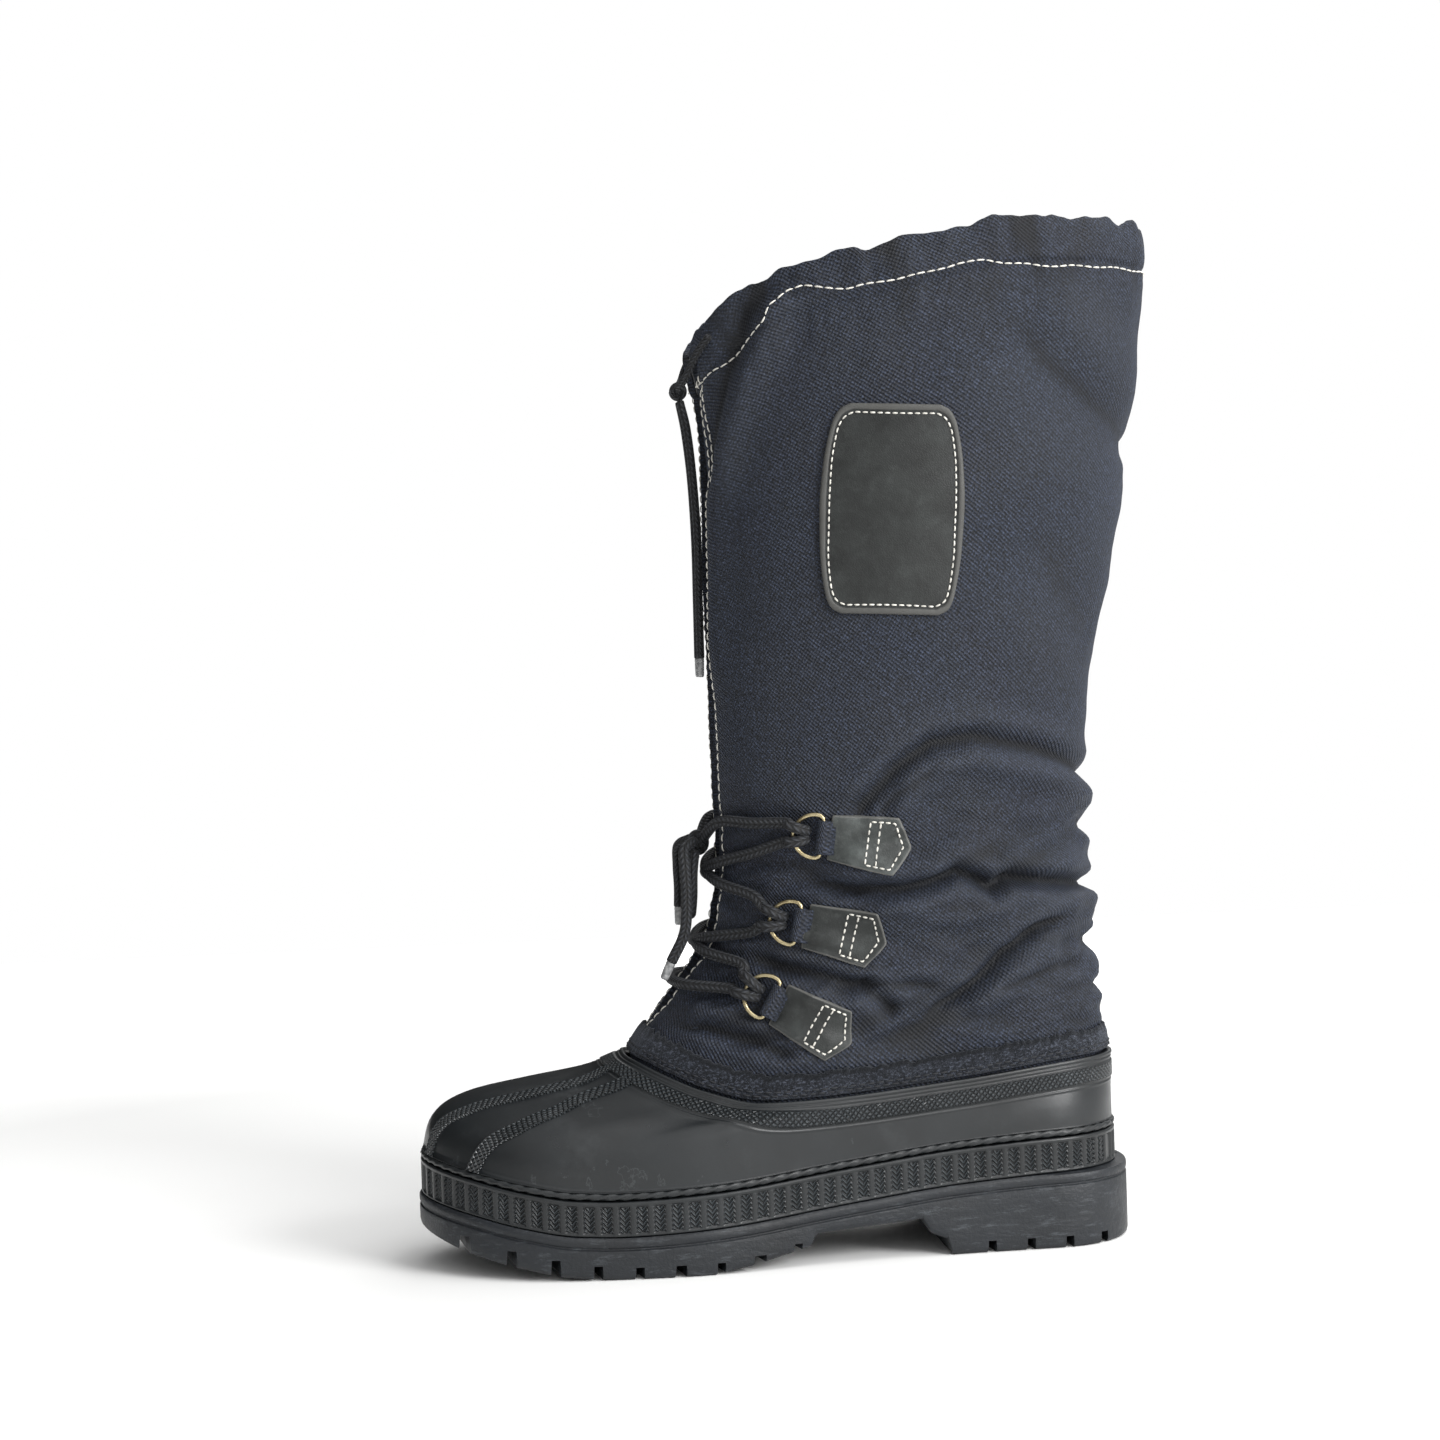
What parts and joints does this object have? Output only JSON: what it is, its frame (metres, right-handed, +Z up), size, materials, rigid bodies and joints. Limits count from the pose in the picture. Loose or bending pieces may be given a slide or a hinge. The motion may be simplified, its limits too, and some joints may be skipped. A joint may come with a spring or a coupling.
{
  "type": "pac boot",
  "caption": "Left winter pac boot with a rubber lower, a tall nylon shaft laced through wire rings, a drawcord collar and a ribbed rubber sole.",
  "frame": {"origin": "middle of the boot's bounding box in plan, on the floor under the sole", "axes": "+Z up, the toe points to -X, the lateral side faces -Y and the medial side +Y"},
  "size_m": [0.3194, 0.1232, 0.426],
  "materials": {
    "rubber": "satin moulded rubber",
    "tread": "matte moulded rubber",
    "nylon": "coated nylon twill",
    "felt": "fuzzy felt",
    "leather": "grained leather",
    "brass": "antique brass wire",
    "cord": "braided cord",
    "tip": "plastic tip"
  },
  "bodies": {
    "root": {"drawcord_end_lateral": "cord", "drawcord_end_medial": "cord", "drawcord_knot": "cord", "drawcord_lead_lateral": "cord", "drawcord_lead_medial": "cord", "drawcord_tip_lateral": "tip", "drawcord_tip_medial": "tip", "foxing": "rubber", "insole": "felt", "join_strip": "felt", "lace_bar_bottom": "cord", "lace_bar_top_lateral": "cord", "lace_bar_top_medial": "cord", "lace_cross_lower": "cord", "lace_cross_upper": "cord", "lace_end_lateral": "cord", "lace_end_medial": "cord", "lace_knot": "cord", "lace_loop_lateral": "cord", "lace_loop_medial": "cord", "lace_tip_lateral": "tip", "lace_tip_medial": "tip", "outsole": "tread", "patch": "leather", "ring_bottom_lateral": "brass", "ring_bottom_medial": "brass", "ring_loop_bottom_lateral": "nylon", "ring_loop_bottom_medial": "nylon", "ring_loop_middle_lateral": "nylon", "ring_loop_middle_medial": "nylon", "ring_loop_top_lateral": "nylon", "ring_loop_top_medial": "nylon", "ring_middle_lateral": "brass", "ring_middle_medial": "brass", "ring_top_lateral": "brass", "ring_top_medial": "brass", "shaft": "nylon", "shell": "rubber", "tab_bottom_lateral": "leather", "tab_bottom_medial": "leather", "tab_middle_lateral": "leather", "tab_middle_medial": "leather", "tab_top_lateral": "leather", "tab_top_medial": "leather", "tongue": "nylon"}
  },
  "joints": []
}
